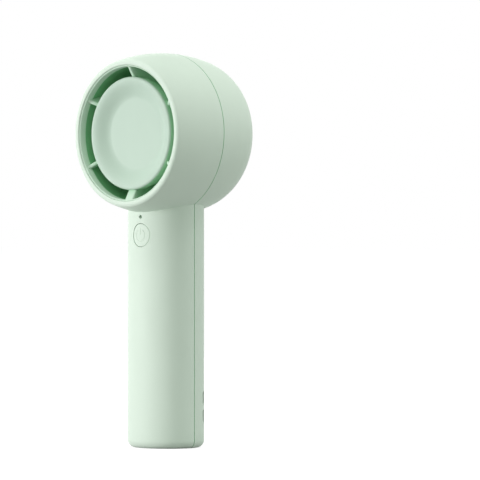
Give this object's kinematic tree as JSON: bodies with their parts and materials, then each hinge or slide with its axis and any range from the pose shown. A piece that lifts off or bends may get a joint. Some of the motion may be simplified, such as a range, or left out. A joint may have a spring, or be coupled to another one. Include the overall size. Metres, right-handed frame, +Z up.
{
  "type": "handheld fan",
  "caption": "Handheld electric fan with a round ducted head, spoked rear inlet, ring-shaped front outlet round a dished disc, and an oval handle with a push button and charging socket.",
  "frame": {"origin": "middle of the handle's flat base", "axes": "+Z up the handle to the head, -Y the way the air leaves, +X to the right seen from the front"},
  "size_m": [0.064, 0.045, 0.1557],
  "materials": {
    "shell": "fine satin moulding",
    "grille": "fine satin moulding",
    "disc": "fine satin moulding",
    "duct": "satin moulding",
    "impeller": "satin moulding",
    "button": "fine satin moulding",
    "indicator": "clear light pipe",
    "socket": "black",
    "dark_plastic": "satin",
    "white_plastic": "satin",
    "screw_steel": "zinc plated",
    "bearing_steel": "ground",
    "can_steel": "nickel plated",
    "laminations": "coated lamination stack",
    "magnet": "bonded magnet",
    "copper": "enamelled copper wire",
    "brass": "turned",
    "nickel": "nickel strip",
    "cell": "plated can",
    "cell_sleeve": "shrink sleeve",
    "foam": "closed-cell foam",
    "lead_red": "insulated lead",
    "lead_black": "insulated lead",
    "board": "solder mask",
    "chips": "moulded"
  },
  "bodies": {
    "housing": {"front_shell": "shell", "rear_shell": "shell", "inlet_grille": "grille", "grille_cap": "grille", "outlet_frame": "duct", "front_disc": "disc", "inlet_shroud": "duct", "shroud_screws": "screw_steel", "motor_mount": "brass", "motor_screws": "screw_steel", "front_bearing": "bearing_steel", "rear_bearing": "bearing_steel", "stator_core": "laminations", "stator_windings": "copper", "motor_leads": "lead_red", "battery_cradle": "dark_plastic", "cradle_screws": "screw_steel", "battery_cell": "cell", "battery_sleeve": "cell_sleeve", "battery_tabs": "nickel", "battery_pads": "foam", "battery_lead_positive": "lead_red", "battery_lead_negative": "lead_black", "control_board": "board", "board_screws": "screw_steel", "board_chips": "chips", "usb_socket": "socket", "usb_tongue": "dark_plastic", "switch_body": "dark_plastic", "status_led": "white_plastic", "light_pipe": "indicator"},
    "rotor": {"impeller": "impeller", "impeller_bush": "brass", "rotor_can": "can_steel", "magnet_ring": "magnet", "shaft": "bearing_steel", "shaft_clip": "screw_steel"},
    "button": {"button_cap": "button", "switch_plunger": "white_plastic"}
  },
  "joints": [
    {"name": "impeller_spin", "type": "hinge", "parent": "housing", "child": "rotor", "pos_m": [0, 0, 0.1237], "axis": [0, 1, 0], "continuous": true},
    {"name": "button_press", "type": "slide", "parent": "housing", "child": "button", "axis": [0, 1, 0], "range_m": [0, 0.0003], "stiffness_N_per_m": 800, "springref_m": -0.0005}
  ]
}
